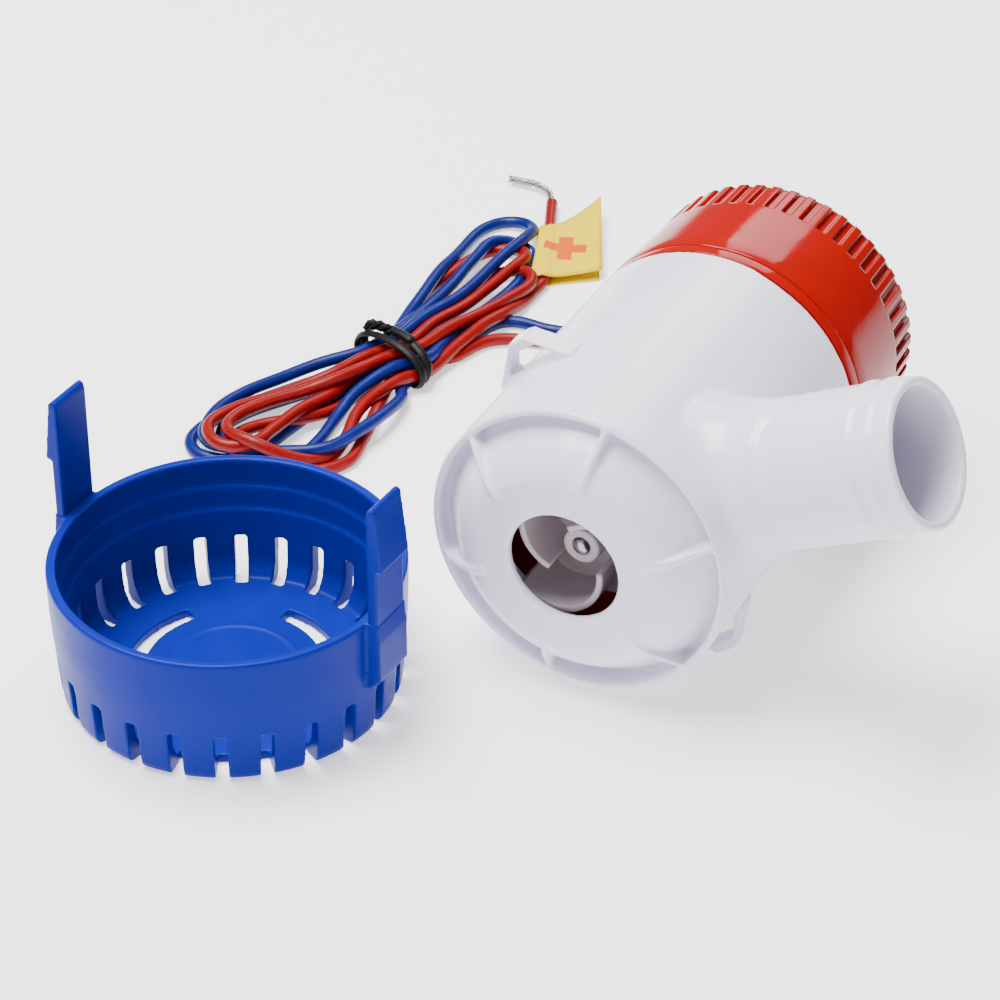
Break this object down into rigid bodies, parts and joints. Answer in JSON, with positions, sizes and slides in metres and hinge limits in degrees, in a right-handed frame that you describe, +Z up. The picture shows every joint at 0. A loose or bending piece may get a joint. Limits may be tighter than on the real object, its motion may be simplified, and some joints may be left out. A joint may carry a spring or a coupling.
{
  "type": "bilge pump",
  "caption": "Small submersible bilge pump lying on its side, with its clip-on strainer basket beside it and its leads folded in a tied hank.",
  "frame": {"origin": "on the floor, under the middle of the box of the pump and its strainer, without the leads", "axes": "+Z up; +X from the strainer towards the discharge nozzle; +Y towards the cap and the tied leads"},
  "size_m": [0.1717, 0.222, 0.0728],
  "materials": {
    "white_plastic": "smooth glossy moulding",
    "red_plastic": "high-gloss moulding",
    "blue_plastic": "satin moulding with faint flow marks",
    "natural_plastic": "unpigmented satin moulding",
    "black_rubber": "matt",
    "black_plastic": "satin",
    "steel": "plated",
    "core_steel": "stacked laminations",
    "bronze": "sintered",
    "copper": "bare copper",
    "ferrite": "sintered ceramic",
    "carbon": "pressed carbon",
    "red_wire": "smooth PVC insulation",
    "blue_wire": "smooth PVC insulation",
    "tinned_strands": "tinned copper strands",
    "yellow_label": "coated paper"
  },
  "bodies": {
    "root": {"outer_housing": "white_plastic", "motor_pod": "red_plastic", "pod_o_ring": "black_rubber", "cap": "red_plastic", "strain_relief": "black_rubber", "motor_can": "steel", "end_bell": "black_plastic", "bush_lower": "bronze", "bush_upper": "bronze", "magnet_left": "ferrite", "magnet_right": "ferrite", "shaft_seal": "black_rubber", "seal_washer": "steel", "brush_a": "carbon", "brush_b": "carbon", "brush_leaf_a": "copper", "brush_leaf_b": "copper", "terminal_red": "copper", "terminal_blue": "copper", "inner_lead_red": "red_wire", "inner_lead_blue": "blue_wire", "red_lead": "red_wire", "blue_lead": "blue_wire", "red_wire_end": "red_wire", "bare_strands": "tinned_strands", "wire_hank": "red_wire", "twist_tie": "black_plastic", "polarity_tag": "yellow_label"},
    "rotor": {"shaft": "steel", "rotor_core": "core_steel", "winding_lower": "copper", "winding_upper": "copper", "impeller": "natural_plastic", "commutator": "copper", "thrust_washer": "natural_plastic"},
    "strainer": {"strainer_basket": "blue_plastic"},
    "arm_right": {"strainer_arm_right": "blue_plastic"},
    "arm_left": {"strainer_arm_left": "blue_plastic"}
  },
  "joints": [
    {"name": "rotor_spin", "type": "hinge", "parent": "root", "child": "rotor", "pos_m": [0.0144, -0.0333, 0.0305], "axis": [0.4555, 0.8902, 0], "continuous": true},
    {"name": "strainer_lift", "type": "slide", "parent": "root", "child": "strainer", "axis": [0, 0, 1], "range_m": [0, 0.04]},
    {"name": "arm_right_flex", "type": "hinge", "parent": "strainer", "child": "arm_right", "pos_m": [-0.02079, -0.0485, 0.0282], "axis": [0.5, 0.866, 0], "range_deg": [-7, 2], "stiffness_Nm_per_rad": 0.4},
    {"name": "arm_left_flex", "type": "hinge", "parent": "strainer", "child": "arm_left", "pos_m": [-0.08141, -0.0135, 0.0282], "axis": [-0.5, -0.866, 0], "range_deg": [-7, 2], "stiffness_Nm_per_rad": 0.4}
  ]
}
